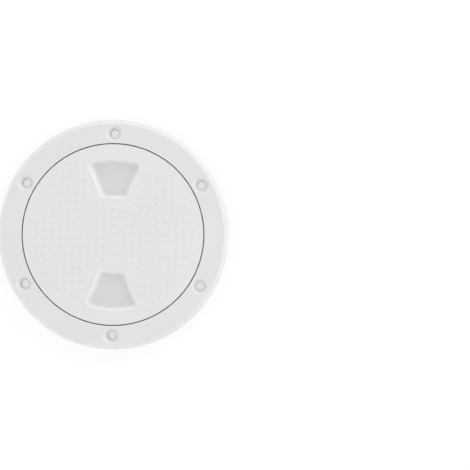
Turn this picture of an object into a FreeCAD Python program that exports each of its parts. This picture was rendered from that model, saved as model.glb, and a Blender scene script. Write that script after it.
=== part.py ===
# Screw-out deck inspection plate for a boat, in white moulded plastic.
#
# Three pieces: a mounting ring that is screwed down over a round cut-out in
# the deck, a cover that screws into the ring by a coarse thread, and a flat
# rubber seal that the cover's rim squeezes onto a seat in the ring.
#
# Millimetres and degrees. The origin is on the deck surface, at the centre of
# the cut-out, and +Z points up out of the deck. Two of the six screw holes lie
# on the Y axis, and so do the two finger wells of the cover, give or take the
# degree at which the cover comes tight.
import FreeCAD, Part
import math
import os

V = FreeCAD.Vector
ORIGIN = V(0, 0, 0)
UP = V(0, 0, 1)

# Cover: rim, top plate and threaded skirt
cover_diameter = 114.7
rim_thickness = 2.0
plate_thickness = 2.6
skirt_depth = 10.0
skirt_wall = 2.4

# Thread between cover and ring
thread_pitch = 5.0
thread_depth = 1.5
thread_crest = 1.2
thread_flank_angle = 30.0
thread_play = 0.35
thread_pull_up = 0.4
thread_end_gap = 0.4
thread_root_bite = 0.4
ring_thread_turns = 1.05
cover_thread_turns = 0.8
cover_tight_angle = -0.7

# Seal: flat rubber ring round the skirt, under the rim
seal_thickness = 2.4
seal_clearance = 0.05
seal_side_gap = 0.5

# Mounting ring: flange on the deck
flange_height = 6.0
flange_width = 15.1
edge_slope_width = 2.7
edge_land = 2.6
rim_gap = 0.55
seat_width = 4.1

# Mounting ring: collar through the deck
collar_wall = 3.0
collar_depth = 13.0

# Mounting ring: holes for countersunk screws of 4 mm
screw_count = 6
screw_edge_distance = 8.8
screw_hole_diameter = 4.8
countersink_diameter = 10.4
countersink_angle = 90.0

# Mounting ring: pockets that core out the flange from below
pockets_between_screws = 2
pocket_inner_wall = 2.4
pocket_outer_wall = 2.6
pocket_roof = 2.3
pocket_rib = 1.8
pocket_screw_clearance = 6.0
pocket_draft = 0.4

# Cover: radial ribs under the plate
cover_rib_angles = (0, 40, 90, 140, 180, 220, 270, 320)
cover_rib_depth = 5.0
cover_rib_wall = 1.6

# Cover: finger wells, seen from above a wedge that widens towards the rim
well_rim_margin = 10.35
well_length = 23.4
well_inner_width = 16.0
well_half_angle = 22.2
well_depth = 4.5
well_inner_draft = 2.0
well_side_draft = 2.5
well_outer_draft = 6.5
well_inner_corner = 1.9
well_floor_corner = 0.4
well_wall = 2.0

# Cover: non-skid field of low diamond studs, corner to corner, its rows a little askew to the wells
stud_pitch = 4.65
stud_height = 0.3
stud_rim_margin = 5.55
stud_well_margin = 4.2
stud_rows_angle = -1.3

# What follows from the sizes above
cover_radius = cover_diameter / 2
recess_radius = cover_radius + rim_gap
bore_radius = recess_radius - seat_width
collar_radius = bore_radius + collar_wall
flange_radius = recess_radius + flange_width
shoulder_radius = flange_radius - edge_slope_width
screw_circle_radius = flange_radius - screw_edge_distance
cover_crest_radius = bore_radius - thread_play
skirt_radius = cover_crest_radius - thread_depth
skirt_inner_radius = skirt_radius - skirt_wall
ring_crest_radius = bore_radius - thread_depth
rim_underside = flange_height - rim_thickness
seat_height = rim_underside - seal_thickness - 2 * seal_clearance
plate_underside = flange_height - plate_thickness
skirt_bottom = -skirt_depth
thread_flank = math.tan(math.radians(thread_flank_angle))
thread_half_root = thread_crest / 2 + (thread_depth + thread_root_bite) * thread_flank
ring_thread_bottom = seat_height - thread_end_gap - thread_half_root - ring_thread_turns * thread_pitch
cover_thread_bottom = skirt_bottom + thread_end_gap + thread_half_root
well_outer_radius = cover_radius - well_rim_margin
well_inner_edge = well_outer_radius - well_length
well_tangent = math.tan(math.radians(well_half_angle))
well_apex = well_inner_edge - well_inner_width / 2 / well_tangent
well_outer_corner = well_floor_corner + well_side_draft
well_floor = flange_height - well_depth
plate_middle = flange_height - plate_thickness / 2
overlap = 1.0


def turned(corners):
    """Solid of revolution about Z with the half-section through the given (r, z) corners."""
    section = Part.makePolygon([V(r, 0, z) for r, z in corners + corners[:1]])
    return Part.Face(section).revolve(ORIGIN, UP, 360)


def turned_copy(shape, degrees):
    """Copy of a shape turned about Z."""
    copy = shape.copy()
    copy.rotate(ORIGIN, UP, degrees)
    return copy


def polyhedron(base, top):
    """Solid between two polygons with as many corners each, all its faces flat."""
    faces = [Part.Face(Part.makePolygon(outline + outline[:1])) for outline in (base, top)]
    for i, low in enumerate(base):
        low_next = base[(i + 1) % len(base)]
        high = top[i]
        high_next = top[(i + 1) % len(base)]
        faces.append(Part.Face(Part.makePolygon([low, low_next, high_next, high, low])))
    return Part.Solid(Part.Shell(faces))


def thread_ridge(root_radius, crest_radius, bottom, turns, start_angle):
    """Right-hand helical ridge of trapezoid section, its root sunk into the wall that carries it."""
    outwards = 1 if crest_radius > root_radius else -1
    sunk_radius = root_radius - outwards * thread_root_bite
    half_crest = thread_crest / 2
    section = Part.makePolygon(
        [
            V(sunk_radius, 0, -thread_half_root),
            V(crest_radius, 0, -half_crest),
            V(crest_radius, 0, half_crest),
            V(sunk_radius, 0, thread_half_root),
            V(sunk_radius, 0, -thread_half_root),
        ]
    )
    helix = Part.makeHelix(thread_pitch, thread_pitch * turns, root_radius)
    ridge = Part.Wire(helix.Edges).makePipeShell([section], True, True)
    ridge.rotate(ORIGIN, UP, start_angle)
    ridge.translate(V(0, 0, bottom))
    return ridge


def flange_pockets():
    """Tapered pockets in the flange's underside, an even row of them between each two screws."""
    inner = recess_radius + pocket_inner_wall
    outer = flange_radius - edge_slope_width - pocket_outer_wall
    roof = flange_height - pocket_roof
    screw_step = 360 / screw_count
    blocked = math.degrees(pocket_screw_clearance / screw_circle_radius)
    free = screw_step - 2 * blocked
    rib = math.degrees(pocket_rib / screw_circle_radius)
    span = (free - (pockets_between_screws - 1) * rib) / pockets_between_screws

    def outline(height, inset):
        half = math.radians(span / 2)
        near = (inner + inset) / math.cos(half)
        far = (outer - inset) * math.cos(half)
        wide = math.sin(half) * inner - inset
        spread = math.tan(half)
        return [
            V(wide, near, height),
            V(-wide, near, height),
            V(-wide - (far - near) * spread, far, height),
            V(wide + (far - near) * spread, far, height),
        ]

    pocket = polyhedron(outline(-overlap, 0), outline(roof, pocket_draft))
    found = []
    for screw in range(screw_count):
        for i in range(pockets_between_screws):
            angle = screw * screw_step + blocked + span / 2 + i * (span + rib)
            found.append(turned_copy(pocket, angle))
    return found


def screw_holes():
    """Through holes and countersinks on the screw circle."""
    hole_radius = screw_hole_diameter / 2
    sink_radius = countersink_diameter / 2
    sink_depth = (sink_radius - hole_radius) / math.tan(math.radians(countersink_angle / 2))
    foot = V(0, screw_circle_radius, -overlap)
    sink_foot = V(0, screw_circle_radius, flange_height - sink_depth)
    hole = Part.makeCylinder(hole_radius, flange_height + 2 * overlap, foot)
    tool = hole.fuse(Part.makeCone(hole_radius, sink_radius, sink_depth, sink_foot))
    return [turned_copy(tool, i * 360 / screw_count) for i in range(screw_count)]


def mounting_ring():
    """Flange, seat and collar in one moulding, with the female thread inside the collar."""
    ring = turned(
        [
            (bore_radius, -collar_depth),
            (collar_radius, -collar_depth),
            (collar_radius, 0),
            (flange_radius, 0),
            (flange_radius, edge_land),
            (shoulder_radius, flange_height),
            (recess_radius, flange_height),
            (recess_radius, seat_height),
            (bore_radius, seat_height),
        ]
    )
    ring = ring.cut(flange_pockets() + screw_holes())
    ridge = thread_ridge(bore_radius, ring_crest_radius, ring_thread_bottom, ring_thread_turns, 0)
    return ring.fuse(ridge)


def wedge_corners(inner_inset, side_inset, outer_inset):
    """The right-hand inner and outer corner of a well's outline, set in from the opening by the given amounts."""
    half_angle = math.radians(well_half_angle)
    apex = well_apex + side_inset / math.sin(half_angle)
    inner = well_inner_edge + inner_inset
    outer = well_outer_radius - outer_inset
    reach = math.sqrt(outer**2 - (apex * math.sin(half_angle)) ** 2) - apex * math.cos(half_angle)
    inner_corner = V((inner - apex) * well_tangent, inner, 0)
    outer_corner = V(reach * math.sin(half_angle), apex + reach * math.cos(half_angle), 0)
    return inner_corner, outer_corner


def well_body(grown, top, bottom):
    """Tapered wedge of a well between two heights, all its walls moved outwards by grown."""

    def sunk_share(height):
        return (flange_height - height) / well_depth

    def flat_walls(height):
        share = sunk_share(height)
        side_inset = well_side_draft * share - grown
        inner_corner = wedge_corners(well_inner_draft * share - grown, side_inset, 0)[0]
        far = cover_radius
        far_half_width = inner_corner.x + (far - inner_corner.y) * well_tangent
        return [
            V(-inner_corner.x, inner_corner.y, height),
            V(inner_corner.x, inner_corner.y, height),
            V(far_half_width, far, height),
            V(-far_half_width, far, height),
        ]

    def outer_wall(height):
        return well_outer_radius - well_outer_draft * sunk_share(height) + grown

    cone = Part.makeCone(outer_wall(bottom), outer_wall(top), top - bottom, V(0, 0, bottom))
    body = polyhedron(flat_walls(bottom), flat_walls(top)).common(cone)
    upright = [edge for edge in body.Edges if edge.BoundBox.ZLength > 0.9 * (top - bottom)]
    upright.sort(key=lambda edge: edge.CenterOfMass.y)
    return body.makeFillet(well_inner_corner + grown, upright[:2])


def corner_trims(top, bottom):
    """What rounds a well's two outer corners: the block past each corner's centre, less an upright cone."""
    radius = well_outer_corner
    centre = wedge_corners(0, radius, radius)[1]
    half_angle = math.radians(well_half_angle)
    across_side = V(math.cos(half_angle), -math.sin(half_angle), 0)
    outwards = V(centre).normalize()
    reach = 4 * radius
    corners = [centre, centre + across_side * reach, centre + (across_side + outwards) * reach]
    corners.append(centre + outwards * reach)
    down = V(0, 0, bottom)
    block = Part.Face(Part.makePolygon([c + down for c in corners + corners[:1]]))
    block = block.extrude(V(0, 0, top - bottom))

    def cone_radius(height):
        return radius - well_side_draft * (flange_height - height) / well_depth

    cone = Part.makeCone(cone_radius(bottom), cone_radius(top), top - bottom, centre + down)
    cone.rotate(centre, UP, 180)
    trim = block.cut(cone)
    return [trim, trim.mirror(ORIGIN, V(1, 0, 0))]


def studs():
    """Low pyramids, corner to corner, on the part of the cover that the wells and the rim leave free."""
    half = stud_pitch / 2
    tips = [V(half, 0, flange_height), V(0, half, flange_height)]
    tips += [V(-half, 0, flange_height), V(0, -half, flange_height)]
    peak = V(0, 0, flange_height + stud_height)
    faces = [Part.Face(Part.makePolygon(tips + tips[:1]))]
    for i in range(4):
        faces.append(Part.Face(Part.makePolygon([tips[i - 1], tips[i], peak, tips[i - 1]])))
    stud = Part.Solid(Part.Shell(faces))
    margin = -stud_well_margin
    inner_corner, outer_corner = wedge_corners(margin, margin, margin)
    rows = FreeCAD.Rotation(UP, stud_rows_angle)
    stud.rotate(ORIGIN, UP, stud_rows_angle)

    def is_free(spot):
        if spot.Length > cover_radius - stud_rim_margin:
            return False
        side = inner_corner.x + (abs(spot.y) - inner_corner.y) * well_tangent
        past_inner = abs(spot.y) > inner_corner.y
        return not (past_inner and abs(spot.x) < side and spot.Length < outer_corner.Length)

    reach = int(cover_radius / stud_pitch) + 1
    found = []
    for column in range(-reach, reach + 1):
        for row in range(-reach, reach):
            spot = rows.multVec(V(column * stud_pitch, (row + 0.5) * stud_pitch, 0))
            if is_free(spot):
                copy = stud.copy()
                copy.translate(spot)
                found.append(copy)
    return found


def cover_ribs():
    """Upright ribs from the centre out to the skirt, under the plate."""
    bottom = plate_underside - cover_rib_depth
    height = plate_middle - bottom
    length = skirt_inner_radius + skirt_wall / 2
    rib = Part.makeBox(length, cover_rib_wall, height, V(0, -cover_rib_wall / 2, bottom))
    return [turned_copy(rib, angle) for angle in cover_rib_angles]


def screw_cover():
    """Top plate with non-skid studs, two finger wells, ribs below, and a skirt that carries the male thread."""
    cover = turned(
        [
            (0, plate_underside),
            (skirt_inner_radius, plate_underside),
            (skirt_inner_radius, skirt_bottom),
            (skirt_radius, skirt_bottom),
            (skirt_radius, rim_underside),
            (cover_radius, rim_underside),
            (cover_radius, flange_height),
            (0, flange_height),
        ]
    )
    cup = well_body(well_wall, plate_middle, well_floor - well_wall)
    cover = cover.fuse(cover_ribs() + [cup, turned_copy(cup, 180)])
    pocket = well_body(0, flange_height, well_floor)
    pocket = pocket.cut(corner_trims(flange_height, well_floor))
    cover = cover.cut([pocket, turned_copy(pocket, 180)])
    cover = cover.fuse(studs())
    cover.rotate(ORIGIN, UP, cover_tight_angle)
    in_mesh = ring_thread_bottom + thread_pitch / 2 + thread_pull_up
    start_angle = 360 * (cover_thread_bottom - in_mesh) / thread_pitch
    ridge = thread_ridge(skirt_radius, cover_crest_radius, cover_thread_bottom, cover_thread_turns, start_angle)
    return cover.fuse(ridge)


def flat_seal():
    """Flat rubber ring between the cover's rim and the ring's seat."""
    inner = skirt_radius + seal_clearance
    outer = cover_radius - seal_side_gap
    bottom = seat_height + seal_clearance
    top = rim_underside - seal_clearance
    return turned([(inner, bottom), (outer, bottom), (outer, top), (inner, top)])


os.makedirs("parts", exist_ok=True)
for name, shape in (
    ("mounting_ring", mounting_ring()),
    ("screw_cover", screw_cover()),
    ("flat_seal", flat_seal()),
):
    shape.exportStep("parts/" + name + ".step")
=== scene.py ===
# Screw-out deck inspection plate: mounting ring, seal and screw cover, seen from straight above.
import math

import bmesh
import bpy
import numpy as np
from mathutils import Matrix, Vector
from mathutils.geometry import delaunay_2d_cdt


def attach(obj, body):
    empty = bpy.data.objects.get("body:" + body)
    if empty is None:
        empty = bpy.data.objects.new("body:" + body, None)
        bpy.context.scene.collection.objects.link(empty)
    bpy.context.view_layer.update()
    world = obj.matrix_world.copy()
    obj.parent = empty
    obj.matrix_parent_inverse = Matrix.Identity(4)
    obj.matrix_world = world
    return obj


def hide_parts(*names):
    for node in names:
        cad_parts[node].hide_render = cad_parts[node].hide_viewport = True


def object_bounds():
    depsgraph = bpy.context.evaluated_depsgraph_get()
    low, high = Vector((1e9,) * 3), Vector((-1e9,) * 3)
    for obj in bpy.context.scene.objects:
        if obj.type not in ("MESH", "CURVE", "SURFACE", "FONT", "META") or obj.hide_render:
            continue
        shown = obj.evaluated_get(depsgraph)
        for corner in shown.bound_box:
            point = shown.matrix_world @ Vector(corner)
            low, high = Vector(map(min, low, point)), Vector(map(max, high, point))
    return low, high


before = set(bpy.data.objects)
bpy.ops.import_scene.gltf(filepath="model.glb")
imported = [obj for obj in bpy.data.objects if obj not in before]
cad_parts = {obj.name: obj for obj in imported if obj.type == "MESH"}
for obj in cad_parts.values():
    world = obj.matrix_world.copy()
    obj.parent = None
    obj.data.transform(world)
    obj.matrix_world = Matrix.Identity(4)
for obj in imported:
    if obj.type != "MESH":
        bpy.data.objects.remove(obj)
cad_box = [list(corner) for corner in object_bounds()]


# Mounting ring. One injection moulding in smooth white plastic, bedded on sealant
# and held to the deck by countersunk screws. Its flange is cored out from below,
# and its collar drops through the deck and carries the female thread.
flange_radius = 73.0
flange_height = 6.0
shoulder_radius = 70.3
edge_land = 2.6
recess_radius = 57.95
seat_height = 1.5
bore_radius = 53.8
collar_radius = 56.8
collar_bottom = -13.0
screw_circle = 64.2
screw_radius = 2.4
sink_radius = 5.2
sink_foot = 3.2
screws = 6
pocket_inner = 60.3
pocket_outer = 67.7
pocket_roof = 3.7
pocket_draft = 0.4
pocket_rib = 1.8
pocket_to_screw = 6.0
top_outer = 69.8
top_inner = 58.4
underside_outer = 72.0
underside_inner = 58.2
thread_pitch = 5.0
thread_depth = 1.5
thread_half_crest = 0.6
thread_flank = math.radians(30)
thread_bite = 0.4
thread_fade = 7.0
facets = 288
hole_facets = 48
hold = 0.12


def rounded(corners, steps=5):
    """A line through (x, y, radius) corners, each turned into an arc that touches both its legs.

    The arc's centre lies on the bisector, radius over the sine of half the angle away. A point held just before
    and just after each arc keeps the flat beside it flat when the surface is shaded smooth.
    """
    line = [np.array(corners[0][:2], float)]
    for before, here, after in zip(corners, corners[1:], corners[2:]):
        corner = np.array(here[:2], float)
        back = np.array(before[:2], float) - corner
        on = np.array(after[:2], float) - corner
        back /= np.linalg.norm(back)
        on /= np.linalg.norm(on)
        half = np.arccos(np.clip(back @ on, -1, 1)) / 2
        reach = here[2] / np.tan(half)
        centre = corner + (back + on) / np.linalg.norm(back + on) * here[2] / np.sin(half)
        sweep = np.pi - 2 * half
        t = np.linspace(0, sweep, steps + 1)[:, None]
        first, last = corner + back * reach - centre, corner + on * reach - centre
        arc = centre + (np.sin(sweep - t) * first + np.sin(t) * last) / np.sin(sweep)
        line += [corner + back * (reach + hold), *arc, corner + on * (reach + hold)]
    line.append(np.array(corners[-1][:2], float))
    return np.array(line)


def grid(points, closed_round=True):
    """Quads over a (rows, columns, 3) array of points; if closed_round, the last column joins the first."""
    rows, columns = points.shape[:2]
    index = np.arange(rows * columns).reshape(rows, columns)
    if closed_round:
        index = np.concatenate([index, index[:, :1]], axis=1)
    quads = np.stack([index[:-1, :-1], index[:-1, 1:], index[1:, 1:], index[1:, :-1]], axis=-1)
    return points.reshape(-1, 3), quads.reshape(-1, 4).tolist()


def ring_of(radius, count=facets):
    """Points of a circle about the origin: radius times cosine and sine of evenly spaced angles."""
    angle = np.arange(count) * 2 * np.pi / count
    return radius * np.stack([np.cos(angle), np.sin(angle)], axis=-1)


def revolved(section, count=facets, centre=(0, 0)):
    """Surface of revolution: every (r, z) of the section goes round the centre as a circle of radius r."""
    circle = ring_of(1.0, count)
    flat = section[:, 0, None, None] * circle + np.array(centre, float)
    height = np.broadcast_to(section[:, 1, None, None], flat.shape[:2] + (1,))
    return grid(np.concatenate([flat, height], axis=-1))


def inside(points, loop):
    """Which points a closed loop holds: a line from each towards +x crosses an odd number of its edges."""
    x, y = points[:, 0, None], points[:, 1, None]
    ax, ay = loop.T
    bx, by = np.roll(loop, -1, axis=0).T
    spans = (ay > y) != (by > y)
    rise = np.where(by == ay, 1.0, by - ay)
    return (spans & (x < ax + (y - ay) * (bx - ax) / rise)).sum(axis=1) % 2 == 1


def skin(outer, holes, height, inner_points=()):
    """Triangles that fill a flat outline round its holes, with z from height(x, y).

    The outline bulges everywhere. What the triangulation puts into a hole, or as a sliver on an edge, is dropped.
    """
    loops = [outer, *holes]
    points = np.concatenate(loops + [np.array(inner_points, float).reshape(-1, 2)])
    edges, start = [], 0
    for loop in loops:
        index = np.arange(len(loop))
        edges += np.stack([start + index, start + (index + 1) % len(loop)], axis=1).tolist()
        start += len(loop)
    found = delaunay_2d_cdt([Vector(p) for p in points], edges, [], 0, 1e-6)
    flat = np.array([tuple(p) for p in found[0]])
    faces = np.array(found[2])
    a, b, c = (flat[faces[:, i]] for i in range(3))
    middle = (a + b + c) / 3
    kept = np.abs((b - a)[:, 0] * (c - a)[:, 1] - (b - a)[:, 1] * (c - a)[:, 0]) > 1e-4
    for hole in holes:
        kept &= ~inside(middle, hole)
    z = np.broadcast_to(height(flat[:, 0], flat[:, 1]), len(flat))
    return np.column_stack([flat, z]), faces[kept].tolist()


def level(z):
    """A height that is the same everywhere."""
    return lambda x, y: z


def sunk(outline, mouth, floor, mouth_round, floor_round, steps=5):
    """Wall from a mouth at one height to a floor at another, through loops given by outline(height, inset).

    A quarter circle rolls the wall outwards at its mouth and another rolls it inwards at its floor, added to
    the wall's own slope. The floor is filled. Returns the mouth's loop and the parts.
    """
    down = np.sign(floor - mouth)
    angle = np.linspace(0, np.pi / 2, steps + 1)
    near = mouth + down * mouth_round * (1 - np.cos(angle))
    far = floor - down * floor_round * (1 - np.cos(angle[::-1]))
    heights = np.concatenate([[mouth], near, [near[-1] + down * hold, far[0] - down * hold], far, [floor]])
    opened = -mouth_round * (1 - np.sin(angle))
    closed = floor_round * (1 - np.sin(angle[::-1]))
    insets = np.concatenate([[opened[0] - hold], opened, [0, 0], closed, [closed[-1] + hold]])
    loops = [outline(z, inset) for z, inset in zip(heights, insets)]
    wall = np.stack([np.column_stack([loop, np.full(len(loop), z)]) for loop, z in zip(loops, heights)])
    return loops[0], [grid(wall), skin(loops[-1], [], level(floor))]


def turned(points, degrees):
    """Points turned about the z axis; works on rows of (x, y) and of (x, y, z)."""
    angle = math.radians(degrees)
    cos, sin = math.cos(angle), math.sin(angle)
    out = np.array(points, float)
    out[..., 0], out[..., 1] = (
        cos * points[..., 0] - sin * points[..., 1],
        sin * points[..., 0] + cos * points[..., 1],
    )
    return out


def moulding(name, parts, material, body, node):
    """One object out of (points, faces) parts in millimetres, which replaces a CAD node.

    Seams are merged, faces turned outwards and shaded smooth, and the piece gets its slot and its body.
    """
    points, faces, start = [], [], 0
    for part_points, part_faces in parts:
        points.append(part_points)
        faces += [[start + i for i in face] for face in part_faces]
        start += len(part_points)
    mesh = bpy.data.meshes.new(name)
    mesh.from_pydata((np.concatenate(points) * 0.001).tolist(), [], faces)
    shell = bmesh.new()
    shell.from_mesh(mesh)
    bmesh.ops.remove_doubles(shell, verts=shell.verts, dist=1e-6)
    bmesh.ops.dissolve_degenerate(shell, edges=shell.edges, dist=1e-7)
    bmesh.ops.recalc_face_normals(shell, faces=shell.faces)
    shell.to_mesh(mesh)
    shell.free()
    mesh.shade_smooth()
    mesh.set_sharp_from_angle(angle=math.radians(50))
    mesh.materials.append(material)
    piece = bpy.data.objects.new(name, mesh)
    bpy.context.scene.collection.objects.link(piece)
    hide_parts(node)
    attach(piece, body)
    return piece


def thread(root, side, bottom, turns, start):
    """Helical ridge on a wall of radius root: a trapezoid with softened crest, carried up one pitch a turn.

    At turn t the section lies at angle start + t and height bottom + pitch * t, outside the wall for a side of 1
    and inside it for -1. Over the first and last few degrees its height and width shrink into the wall.
    """
    half_root = thread_half_crest + (thread_depth + thread_bite) * math.tan(thread_flank)
    section = rounded(
        [
            (-thread_bite, -half_root),
            (thread_depth, -thread_half_crest, 0.25),
            (thread_depth, thread_half_crest, 0.25),
            (-thread_bite, half_root),
        ],
        3,
    )
    t = np.linspace(0, 1, int(turns * facets / 2))
    run = np.minimum(t, 1 - t) * turns * 360 / thread_fade
    fade = 0.03 + 0.97 * np.clip(run, 0, 1) ** 0.6
    outwards = (section[:, 0] + thread_bite) * fade[:, None] - thread_bite
    radius = root + side * outwards
    angle = (math.radians(start) + t * turns * 2 * np.pi)[:, None]
    z = bottom + thread_pitch * turns * t[:, None] + section[:, 1] * (0.4 + 0.6 * fade[:, None])
    points = np.stack([radius * np.cos(angle), radius * np.sin(angle), z], axis=-1)
    body = grid(points)
    columns = len(section)
    last = (len(t) - 1) * columns
    return body[0], body[1] + [list(range(columns)), list(range(last, last + columns))]


def at_screws(make):
    """What make(angle) gives for the angle of each screw, the first of them on the y axis."""
    return [make(90 + i * 360 / screws) for i in range(screws)]


def screw_hole(angle):
    """Through hole with its countersink, a section revolved about the screw's axis: mouth, foot and wall."""
    section = rounded(
        [
            (sink_radius + 0.36, flange_height),
            (sink_radius, flange_height, 0.55),
            (screw_radius + 0.3, sink_foot + 0.3, 0.2),
            (screw_radius, 0, 0.15),
            (screw_radius + 0.4, 0),
        ],
        4,
    )
    spot = screw_circle * np.array([math.cos(math.radians(angle)), math.sin(math.radians(angle))])
    mouth = ring_of(section[0, 0], hole_facets) + spot
    foot = ring_of(section[-1, 0], hole_facets) + spot
    return mouth, foot, revolved(section, hole_facets, spot)


def flange_pocket(angle):
    """The two pockets moulded into the flange from below between one screw and the next, with a rib between.

    Each has four walls, rounded corners and a slight taper up to its roof. Returns their mouths and walls.
    """
    blocked = math.degrees(pocket_to_screw / screw_circle)
    rib = math.degrees(pocket_rib / screw_circle)
    span = (360 / screws - 2 * blocked - rib) / 2
    half = math.radians(span / 2)

    def outline(z, inset):
        inset = inset + pocket_draft * z / pocket_roof
        near = (pocket_inner + inset) / math.cos(half)
        far = (pocket_outer - inset) * math.cos(half)
        wide = math.sin(half) * pocket_inner - inset
        wider = wide + (far - near) * math.tan(half)
        soft = max(0.3, 0.9 - inset)
        ends = [(0, near), (wide, near, soft), (wider, far, soft)]
        return rounded(ends + [(-wider, far, soft), (-wide, near, soft), (0, near)], 4)[:-1]

    mouth, parts = sunk(outline, 0.0, pocket_roof, 0.25, 0.5, 3)
    turn = angle - 90 + blocked + span / 2
    mouths, walls = [], []
    for more in (0, span + rib):
        mouths.append(turned(mouth, turn + more))
        walls += [(turned(points, turn + more), faces) for points, faces in parts]
    return mouths, walls


class Signal:
    """A shader socket that is used like a number: each operation on it becomes a Math node."""

    def __init__(self, tree, socket=None):
        self.tree = tree
        self.socket = socket

    def node(self, kind, settings=None, inputs=None, output=0):
        """A new node: its settings are set first, then its sockets get values or links."""
        made = self.tree.nodes.new(kind)
        for name, value in (settings or {}).items():
            setattr(made, name, value)
        for key, value in (inputs or {}).items():
            if isinstance(value, Signal):
                self.tree.links.new(value.socket, made.inputs[key])
            else:
                made.inputs[key].default_value = value
        return Signal(self.tree, made.outputs[output])

    def math(self, operation, *values):
        return self.node("ShaderNodeMath", {"operation": operation}, dict(enumerate(values)))

    def __add__(self, other):
        return self.math("ADD", self, other)

    def __sub__(self, other):
        return self.math("SUBTRACT", self, other)

    def __mul__(self, other):
        return self.math("MULTIPLY", self, other)

    def __radd__(self, other):
        return self.math("ADD", other, self)

    def __rsub__(self, other):
        return self.math("SUBTRACT", other, self)

    def __rmul__(self, other):
        return self.math("MULTIPLY", other, self)

    def clamped(self):
        """The value held between 0 and 1."""
        return self.node("ShaderNodeClamp", None, {"Value": self})


def noise(tree, scale, detail=3.0, roughness=0.5):
    """Noise in object space, scale in features a metre, centred on 0.5."""
    start = Signal(tree)
    place = start.node("ShaderNodeTexCoord", output=3)
    inputs = {"Vector": place, "Scale": scale, "Detail": detail, "Roughness": roughness}
    return start.node("ShaderNodeTexNoise", None, inputs)


def moulded_plastic(name, tone, grain_scale, grain_height, roughness):
    """White moulded plastic: a tone with a slow mottle and fine specks, patchy gloss, and a moulded grain."""
    material = bpy.data.materials.new(name)
    material.use_nodes = True
    tree = material.node_tree
    shader = tree.nodes["Principled BSDF"]
    start = Signal(tree)
    mottle = noise(tree, 28.0) - 0.5
    specks = noise(tree, 900.0, 2.0) - 0.5
    share = (0.5 + mottle * 0.5 + specks * 0.4).clamped()
    darker = [tone * 0.95] * 3 + [1.0]
    lighter = [tone * 1.05] * 3 + [1.0]
    colour = start.node("ShaderNodeMix", {"data_type": "RGBA"}, {0: share, 6: darker, 7: lighter}, 2)
    tree.links.new(colour.socket, shader.inputs["Base Color"])
    gloss = roughness + mottle * 0.12 + (noise(tree, 240.0) - 0.5) * 0.16
    tree.links.new(gloss.clamped().socket, shader.inputs["Roughness"])
    grain = noise(tree, grain_scale, 4.0, 0.6)
    bump = start.node("ShaderNodeBump", None, {"Strength": 0.5, "Distance": grain_height, "Height": grain})
    tree.links.new(bump.socket, shader.inputs["Normal"])
    shader.inputs["IOR"].default_value = 1.47
    shader.inputs["Specular IOR Level"].default_value = 0.4
    return material


edge_section = rounded(
    [
        (top_outer, flange_height),
        (shoulder_radius, flange_height, 0.7),
        (flange_radius, edge_land, 0.5),
        (flange_radius, 0, 0.25),
        (underside_outer, 0),
    ]
)
bore_section = rounded(
    [
        (top_inner, flange_height),
        (recess_radius, flange_height, 0.15),
        (recess_radius, seat_height, 0.3),
        (bore_radius, seat_height, 0.3),
        (bore_radius, collar_bottom, 0.4),
        (collar_radius, collar_bottom, 0.4),
        (collar_radius, 0, 0.5),
        (underside_inner, 0),
    ]
)
holes = at_screws(screw_hole)
pockets = at_screws(flange_pocket)
ring_parts = [revolved(edge_section), revolved(bore_section)]
ring_parts.append(thread(bore_radius, -1, -5.847, 1.05, 0))
ring_parts += [hole[2] for hole in holes]
ring_parts += [part for pocket in pockets for part in pocket[1]]
top_holes = [ring_of(top_inner)] + [hole[0] for hole in holes]
ring_parts.append(skin(ring_of(top_outer), top_holes, level(flange_height)))
underside_holes = [ring_of(underside_inner)] + [hole[1] for hole in holes]
underside_holes += [mouth for pocket in pockets for mouth in pocket[0]]
ring_parts.append(skin(ring_of(underside_outer), underside_holes, level(0.0)))
smooth_plastic = moulded_plastic("smooth_white_plastic", 0.77, 1500.0, 0.00004, 0.34)
moulding("mounting_ring_moulding", ring_parts, smooth_plastic, "ring", "mounting_ring")


# Seal. A flat ring punched from black rubber sheet, stretched round the skirt
# and squeezed between the rim and the seat when the cover is screwed down.
def sheet_rubber(name):
    """Black rubber sheet: nearly black, matt, with a dusty bloom and a fine skin of pores."""
    material = bpy.data.materials.new(name)
    material.use_nodes = True
    tree = material.node_tree
    shader = tree.nodes["Principled BSDF"]
    start = Signal(tree)
    ends = {0: noise(tree, 120.0), 6: (0.018, 0.018, 0.019, 1.0), 7: (0.05, 0.05, 0.05, 1.0)}
    colour = start.node("ShaderNodeMix", {"data_type": "RGBA"}, ends, 2)
    tree.links.new(colour.socket, shader.inputs["Base Color"])
    dull = 0.72 + (noise(tree, 500.0) - 0.5) * 0.3
    tree.links.new(dull.clamped().socket, shader.inputs["Roughness"])
    pores = noise(tree, 2600.0, 2.0)
    bump = start.node("ShaderNodeBump", None, {"Strength": 0.6, "Distance": 0.00005, "Height": pores})
    tree.links.new(bump.socket, shader.inputs["Normal"])
    return material


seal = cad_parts["flat_seal"]
seal.data.materials.clear()
seal.data.materials.append(sheet_rubber("sheet_rubber"))


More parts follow.
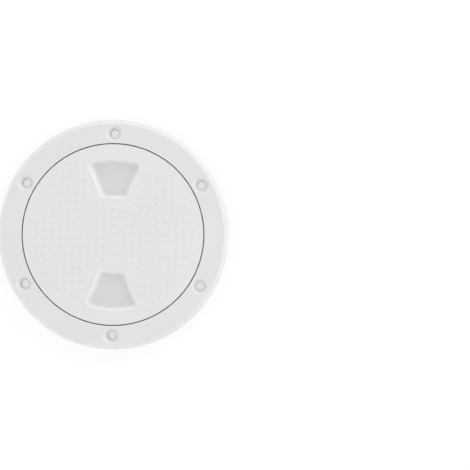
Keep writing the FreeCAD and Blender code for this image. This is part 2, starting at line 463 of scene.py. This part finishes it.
# Screw cover. One moulding in satin white plastic: a flat plate with low non-skid
# studs and two finger wells, stiffened by ribs, and a skirt that carries the male
# thread. It is screwed down by hand, and comes tight a little past the screws.
cover_radius = 57.25
plate_underside = 3.4
rim_underside = 4.0
skirt_radius = 51.95
skirt_inner = 49.55
skirt_bottom = -10.0
tight_angle = -0.7
stud_rows_angle = -1.3
well_inner_edge = 23.6
well_outer_radius = 47.0
well_half_angle = math.radians(22.2)
well_apex = well_inner_edge - 8.0 / math.tan(well_half_angle)
well_floor = 1.5
well_wall = 2.0
well_inner_draft = 2.0
well_side_draft = 2.5
well_scoop = 6.5
well_inner_corner = 1.9
well_outer_corner = 2.9
rim_inner = 55.6
hollow_radius = 48.6
stud_pitch = 4.65
stud_height = 0.3
stud_flank = 0.6
stud_softness = 0.05
stud_field = 51.8
bare_field = 51.2
bare_from = 19.4
bare_half_width = 10.82
rib_wall = 1.6
rib_bottom = -1.6


def well_outline(z, inset, further_out=0.8):
    """Loop of a finger well at a height: straight inner edge, two slanted sides, an outer arc about the middle.

    Each wall moves in with depth by its own draft, the outer one slowly at first and then fast, so that it is
    steep at the top and scooped out into the floor. A positive inset moves everything in, the arc five times as
    far. A negative one moves everything out, the arc and the inner edge half as far, which keeps their lips
    crisp. Corner centres lie where the two neighbouring lines, moved in by the corner's radius, cross.
    """
    share = (flange_height - z) / (flange_height - well_floor)
    half = well_half_angle
    crisp = inset if inset > 0 else 0.5 * inset
    inner = well_inner_edge - 0.3 + well_inner_draft * share + crisp
    run = 1 - (1 - min(share, 1.0)) ** 0.12
    outer = well_outer_radius + further_out - well_scoop * run - crisp - 4 * max(0.0, inset)
    apex = well_apex + (well_side_draft * share + inset) / math.sin(half)
    inner_round = max(0.4, well_inner_corner - inset)
    outer_round = max(0.4, well_outer_corner - well_side_draft * share - inset)
    x = (inner + inner_round - apex - inner_round / math.sin(half)) * math.tan(half)
    low = np.array([x, inner + inner_round])
    moved = apex + outer_round / math.sin(half)
    reach = math.sqrt((outer - outer_round) ** 2 - (moved * math.sin(half)) ** 2) - moved * math.cos(half)
    high = np.array([reach * math.sin(half), moved + reach * math.cos(half)])

    def arc(centre, radius, start, end, count):
        angle = np.linspace(start, end, count)
        return centre + radius * np.stack([np.cos(angle), np.sin(angle)], axis=-1)

    lean = math.atan2(high[1], high[0])
    lower = arc(low, inner_round, -np.pi / 2, -half, 7)
    upper = arc(high, outer_round, -half, lean, 8)
    side = lower[-1] + (upper[0] - lower[-1]) * np.linspace(0, 1, 10)[1:-1, None]
    right = np.concatenate([lower, side, upper])
    rim = arc(np.zeros(2), outer, lean, np.pi / 2, 12)[1:]
    edge = np.stack([np.linspace(0, low[0], 6)[:-1], np.full(5, inner)], axis=-1)
    half_loop = np.concatenate([edge, right, rim])
    other = half_loop[1:-1][::-1] * [-1, 1]
    return np.concatenate([half_loop, other])


def stud_relief(x, y):
    """Height of the plate's top, with a low pyramid on every free spot of a square lattice.

    The pyramid stands where |dx| + |dy| is below half a pitch, and its point is worn flat: the sides rise over
    the outer part, stud_flank. Its edges are softened by taking the root of dx squared plus a little for |dx|.
    Spots near the rim, and in the strips that hold the wells, stay bare.
    """
    x, y = turned(np.column_stack([x, y]), -stud_rows_angle).T
    cx = np.round(x / stud_pitch) * stud_pitch
    cy = (np.floor(y / stud_pitch) + 0.5) * stud_pitch
    far = np.hypot(cx, cy)
    across, along = np.abs(turned(np.stack([cx, cy], -1), stud_rows_angle)).T
    side = bare_half_width + (along - bare_from) * math.tan(well_half_angle)
    free = (far < stud_field) & ~((along > bare_from) & (across < side) & (far < bare_field))
    soft = stud_softness
    from_point = np.sqrt((x - cx) ** 2 + soft**2) + np.sqrt((y - cy) ** 2 + soft**2) - soft
    rise = np.clip((1 - from_point / (stud_pitch / 2)) / stud_flank, 0, 1)
    return flange_height + stud_height * free * rise


def cover_rib(angle, stations):
    """Rib under the plate: a section with a rounded foot, carried through stations of (distance, top).

    Each rib's foot lies a little higher than the last one's, so that no two share a plane where they cross.
    """
    half = rib_wall / 2
    rows = []
    for along, top in stations:
        foot = rib_bottom + angle * 0.0004
        section = rounded([(half, top), (half, foot, 0.3), (-half, foot, 0.3), (-half, top)], 3)
        rows.append(np.column_stack([np.full(len(section), along), section]))
    body = grid(np.stack(rows))
    columns = len(rows[0])
    last = (len(stations) - 1) * columns
    caps = [list(range(columns)), list(range(last, last + columns))]
    return turned(body[0], angle), body[1] + caps


def both(points_and_faces):
    """A part and its copy on the other side of the middle."""
    points, faces = points_and_faces
    return [(points, faces), (turned(points, 180), faces)]


rim_section = rounded(
    [
        (rim_inner, flange_height),
        (cover_radius, flange_height, 0.2),
        (cover_radius, rim_underside, 0.25),
        (skirt_radius, rim_underside, 0.3),
        (skirt_radius, skirt_bottom, 0.4),
        (skirt_inner, skirt_bottom, 0.4),
        (skirt_inner, plate_underside, 0.8),
        (hollow_radius, plate_underside),
    ]
)
well_mouth, well_parts = sunk(
    lambda z, inset: well_outline(z, inset - 0.3), flange_height, well_floor, 0.9, 0.6
)
cup_mouth, cup_parts = sunk(
    lambda z, inset: well_outline(z + well_wall, inset - 1.1, 0.4),
    plate_underside,
    well_floor - well_wall,
    0.4,
    0.8,
    4,
)
step = stud_pitch / 10
reach = int(rim_inner / step)
lattice = np.arange(-reach, reach + 1) * step
spots = np.stack(np.meshgrid(lattice, lattice), axis=-1).reshape(-1, 2)
spots = turned(spots[np.hypot(*spots.T) < rim_inner - 0.4], stud_rows_angle)
margin = well_outline(flange_height, -1.2 - hold - 0.25)
spots = spots[~inside(spots, margin) & ~inside(spots, turned(margin, 180))]
cover_parts = [revolved(rim_section)]
for part in well_parts + cup_parts:
    cover_parts += both(part)
well_mouths = [well_mouth, turned(well_mouth, 180)]
cover_parts.append(skin(ring_of(rim_inner), well_mouths, stud_relief, spots))
cup_mouths = [cup_mouth, turned(cup_mouth, 180)]
cover_parts.append(skin(ring_of(hollow_radius), cup_mouths, level(plate_underside)))


def full_width(half_stations):
    """Stations of a rib right across the cover, from those of one half."""
    return [(-along, top) for along, top in half_stations[::-1]] + half_stations


in_skirt = (skirt_radius + skirt_inner) / 2
in_plate = 4.7
in_cup_floor = 0.5
for angle in (0, 40, 140):
    cover_parts.append(cover_rib(angle, full_width([(in_skirt, in_plate)])))
under_wells = [(23.18, in_plate), (25.04, in_cup_floor), (45.8, in_cup_floor), (46.8, 1.5)]
under_wells += [(48.1, in_plate), (in_skirt, in_plate)]
cover_parts.append(cover_rib(90, full_width(under_wells)))
cover_parts = [(turned(points, tight_angle), faces) for points, faces in cover_parts]
cover_parts.append(thread(skirt_radius, 1, -7.903, 0.8, -356.8))
satin_plastic = moulded_plastic("satin_white_plastic", 0.79, 1100.0, 0.00006, 0.45)
moulding("screw_cover_moulding", cover_parts, satin_plastic, "cover", "screw_cover")


# Floor. A pale sheet that the collar stands on. To the camera it is white, with
# painted shade under the plate that makes it a little greyer there, and it keeps part of the shadow that falls on
# it.
floor_height = cad_box[0][2] - 0.0002
floor_corners = np.array([(-4, -4), (4, -4), (4, 4), (-4, 4)], float)
floor_mesh = bpy.data.meshes.new("floor")
floor_mesh.from_pydata(np.column_stack([floor_corners, np.full(4, floor_height)]).tolist(), [], [(0, 1, 2, 3)])
floor = bpy.data.objects.new("floor", floor_mesh)
bpy.context.scene.collection.objects.link(floor)


def white_to_the_camera(tree):
    """1 for rays that come from the camera, from a gloss or through something clear, else 0."""
    path = tree.nodes.new("ShaderNodeLightPath")
    camera_ray = Signal(tree, path.outputs["Is Camera Ray"])
    glossy_ray = Signal(tree, path.outputs["Is Glossy Ray"])
    clear_ray = Signal(tree, path.outputs["Is Transmission Ray"])
    return (camera_ray + glossy_ray + clear_ray).clamped()


pale_sheet = bpy.data.materials.new("pale_sheet")
pale_sheet.use_nodes = True
tree = pale_sheet.node_tree
start = Signal(tree)
matt = start.node("ShaderNodeBsdfDiffuse", None, {"Color": (0.5, 0.5, 0.5, 1.0)})
thin = start.node("ShaderNodeBsdfDiffuse", None, {"Color": (0.24, 0.24, 0.24, 1.0)})
place = start.node("ShaderNodeTexCoord", output=3)
from_middle = start.node("ShaderNodeVectorMath", {"operation": "LENGTH"}, {0: place}, 1)
# Painted shade: under the plate the sheet's white glow to the camera is dimmed, standing in for the flange's
# shadow.
painted_shade_under_plate = (24.0 - from_middle * 330.0).clamped()  # fades out from 70 to 73 mm
white = start.node("ShaderNodeEmission", None, {"Strength": 0.8 - painted_shade_under_plate * 0.2})
lit = start.node("ShaderNodeAddShader", None, {0: thin, 1: white})
surface = start.node("ShaderNodeMixShader", None, {0: white_to_the_camera(tree), 1: matt, 2: lit})
tree.links.new(surface.socket, tree.nodes["Material Output"].inputs["Surface"])
floor_mesh.materials.append(pale_sheet)


# Light. A pale tent that is brightest low down, and to the camera plain white, a
# soft lamp overhead, and another low at the upper right.
surround = bpy.data.worlds.new("surround")
bpy.context.scene.world = surround
surround.use_nodes = True
tree = surround.node_tree
start = Signal(tree)
direction = tree.nodes.new("ShaderNodeSeparateXYZ")
tree.links.new(start.node("ShaderNodeTexCoord").socket, direction.inputs[0])
low_down = (1.0 - Signal(tree, direction.outputs["Z"])).clamped()
tent = 0.4 + low_down * low_down * 2.5
seen = white_to_the_camera(tree)
tree.links.new((tent + seen * (1.0 - tent)).socket, tree.nodes["Background"].inputs["Strength"])
tree.nodes["Background"].inputs["Color"].default_value = (1.0, 1.0, 1.0, 1.0)


def soft_lamp(name, place, size, energy):
    """Square area lamp that faces the object."""
    data = bpy.data.lights.new(name, "AREA")
    data.shape = "SQUARE"
    data.size = size
    data.energy = energy
    lamp = bpy.data.objects.new(name, data)
    lamp.location = place
    lamp.rotation_euler = (-lamp.location).to_track_quat("-Z", "Y").to_euler()
    bpy.context.scene.collection.objects.link(lamp)


soft_lamp("overhead_lamp", (0.0, 0.0, 1.3), 1.1, 2.1)
soft_lamp("side_lamp", (0.88, 0.79, 0.54), 0.8, 2.5)


# Camera. Straight above, 0.83 m over the deck and to the right of the plate,
# which therefore stands in the left half of the picture.
picture_width = 0.29993
camera_height = 0.829
turn = math.radians(0.85)
right = Vector((math.cos(turn), math.sin(turn), 0))
up = Vector((-math.sin(turn), math.cos(turn), 0))
camera_data = bpy.data.cameras.new("camera")
camera_data.sensor_width = 36.0
camera_data.lens = camera_data.sensor_width * camera_height / picture_width
camera = bpy.data.objects.new("camera", camera_data)
camera.location = right * 0.07733 - up * 0.00029 + Vector((0, 0, camera_height))
camera.rotation_euler = (0, 0, turn)
bpy.context.scene.collection.objects.link(camera)
bpy.context.scene.camera = camera
bpy.context.scene.view_settings.view_transform = "Standard"
